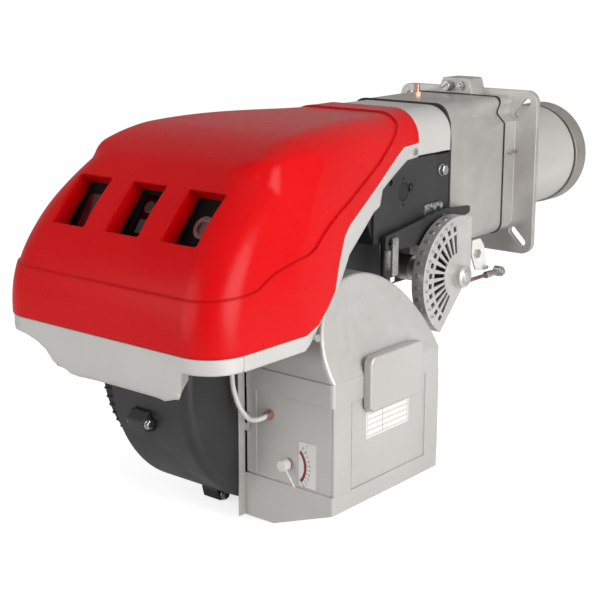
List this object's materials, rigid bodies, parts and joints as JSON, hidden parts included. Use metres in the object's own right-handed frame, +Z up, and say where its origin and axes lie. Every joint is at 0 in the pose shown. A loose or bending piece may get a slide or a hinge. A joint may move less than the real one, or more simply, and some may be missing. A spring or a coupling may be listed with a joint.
{
  "type": "industrial gas burner",
  "caption": "Boiler-mounted forced-draught gas burner: red hood, side air box, fan scroll, cam-driven damper and gas throttle, flanged blast tube.",
  "frame": {"origin": "centre of the boiler-side face of the mounting flange, on the blast tube's axis", "axes": "+Y into the boiler along the blast tube, +Z up, +X the operator's side with the air box and cam"},
  "size_m": [0.523, 1.0936, 0.5654],
  "materials": {
    "cast_silver": "sand-cast aluminium, matt",
    "flange_plate": "cast aluminium plate",
    "sheet_silver": "silver powder coat on sheet steel",
    "tube_steel": "satin stainless sheet",
    "ring_steel": "heat-dulled steel",
    "black_cast": "satin black paint on cast aluminium",
    "black_sheet": "satin black paint on sheet",
    "hood_red": "gloss red moulding",
    "base_silver": "silver-grey moulding",
    "gasket": "dark fibre gasket",
    "brass": "copper-coloured brass",
    "zinc": "bright zinc plate",
    "chrome": "bright steel",
    "cam_alu": "turned aluminium",
    "spring_steel": "spring steel",
    "white_zinc": "white coated steel",
    "black_plastic": "black plastic",
    "lens_red": "dark red lens",
    "sight": "tinted sight glass",
    "hose_grey": "light grey hose",
    "plate_white": "blank plate",
    "ceramic": "white ceramic",
    "button_red": "button",
    "pointer_white": "white knob",
    "galvanised": "galvanised sheet"
  },
  "bodies": {
    "boiler_side": {"boiler_flange": "flange_plate", "flange_gasket": "gasket", "gas_sleeve": "cast_silver", "sleeve_gasket": "gasket", "blast_tube": "tube_steel", "tube_end_ring": "ring_steel", "adjuster_block": "cast_silver", "test_nipple": "brass", "slide_bars": "chrome", "collar_bolts": "zinc", "gas_valve_body": "cast_silver"},
    "head_screw": {"head_screw": "zinc"},
    "flame_head": {"gas_distributor": "galvanised", "flame_disk": "spring_steel", "electrodes": "ceramic"},
    "gas_throttle": {"butterfly": "zinc", "gas_lever": "white_zinc", "gas_lever_screw": "zinc"},
    "gas_link": {"gas_link": "brass"},
    "burner_body": {"fan_housing_right": "black_cast", "fan_housing_left": "black_cast", "duct_side_plate": "black_sheet", "housing_lugs": "black_cast", "motor_shield": "black_plastic", "motor_body": "black_cast", "motor_cowl": "black_sheet", "hood_base": "base_silver", "rear_casing": "base_silver", "hood_screws": "zinc", "control_panel": "black_plastic", "control_box": "black_plastic", "indicator_lens": "lens_red", "sight_glass": "sight", "air_box": "sheet_silver", "air_tray": "sheet_silver", "box_dome": "sheet_silver", "side_cover": "sheet_silver", "edge_strip": "sheet_silver", "rating_plate": "plate_white", "scale_plate": "plate_white", "servomotor": "black_plastic", "cam_bearing": "cam_alu", "lever_bracket": "zinc", "side_bolt": "zinc", "air_hose": "hose_grey", "hose_fitting": "brass"},
    "fan": {"motor_shaft": "chrome", "impeller": "galvanised"},
    "hood": {"hood": "hood_red"},
    "reset_button": {"reset_button": "button_red"},
    "rocker_switch": {"rocker_switch": "black_plastic"},
    "cam": {"cam": "cam_alu", "cam_screws": "zinc", "cam_strip": "spring_steel", "cam_shaft": "chrome"},
    "follower_lever": {"follower_lever": "black_sheet"},
    "tie_rod": {"tie_rod": "zinc"},
    "damper": {"damper_flap": "galvanised", "damper_shaft": "zinc", "damper_pointer": "pointer_white"}
  },
  "joints": [
    {"name": "burner_slide", "type": "slide", "parent": "boiler_side", "child": "burner_body", "axis": [0, -1, 0], "range_m": [0, 0.111]},
    {"name": "head_screw_turn", "type": "hinge", "parent": "boiler_side", "child": "head_screw", "pos_m": [-0.014, -0.03, 0.138], "axis": [0, 1, 0], "range_deg": [0, 2700]},
    {"name": "flame_head_slide", "type": "slide", "parent": "boiler_side", "child": "flame_head", "axis": [0, -1, 0], "range_m": [0, 0.0225]},
    {"name": "gas_throttle_turn", "type": "hinge", "parent": "boiler_side", "child": "gas_throttle", "pos_m": [0.04, -0.095, -0.124], "axis": [1, 0, 0], "range_deg": [0, 75]},
    {"name": "gas_link_slide", "type": "slide", "parent": "boiler_side", "child": "gas_link", "axis": [0, 1, 0], "range_m": [0, 0.03]},
    {"name": "fan_spin", "type": "hinge", "parent": "burner_body", "child": "fan", "pos_m": [-0.02, -0.56, -0.19], "axis": [1, 0, 0], "continuous": true},
    {"name": "hood_lift", "type": "slide", "parent": "burner_body", "child": "hood", "axis": [0, -0.7071, 0.7071], "range_m": [0, 0.25]},
    {"name": "reset_press", "type": "slide", "parent": "burner_body", "child": "reset_button", "axis": [0, 0.8202, -0.5721], "range_m": [0, 0.004], "stiffness_N_per_m": 400},
    {"name": "rocker_turn", "type": "hinge", "parent": "burner_body", "child": "rocker_switch", "pos_m": [0.002, -0.75552, 0.00582], "axis": [1, 0, 0], "range_deg": [0, 14]},
    {"name": "cam_turn", "type": "hinge", "parent": "burner_body", "child": "cam", "pos_m": [0.13, -0.24, -0.126], "axis": [-1, 0, 0], "range_deg": [0, 90]},
    {"name": "lever_turn", "type": "hinge", "parent": "burner_body", "child": "follower_lever", "pos_m": [0.11, -0.24, -0.038], "axis": [1, 0, 0], "range_deg": [0, 12]},
    {"name": "rod_slide", "type": "slide", "parent": "burner_body", "child": "tie_rod", "axis": [0, 0, -1], "range_m": [0, 0.0285]},
    {"name": "damper_turn", "type": "hinge", "parent": "burner_body", "child": "damper", "pos_m": [0.138, -0.5, -0.312], "axis": [0, -1, 0], "range_deg": [0, 62]}
  ],
  "couplings": [
    {"joint": "lever_turn", "follows": "cam_turn", "ratio": 0.13333},
    {"joint": "rod_slide", "follows": "cam_turn", "m_per_rad": 0.018144},
    {"joint": "damper_turn", "follows": "cam_turn", "ratio": 0.68889},
    {"joint": "gas_throttle_turn", "follows": "cam_turn", "ratio": 0.83333},
    {"joint": "gas_link_slide", "follows": "cam_turn", "m_per_rad": 0.019099},
    {"joint": "head_screw_turn", "follows": "flame_head_slide", "rad_per_m": 2094.4}
  ]
}
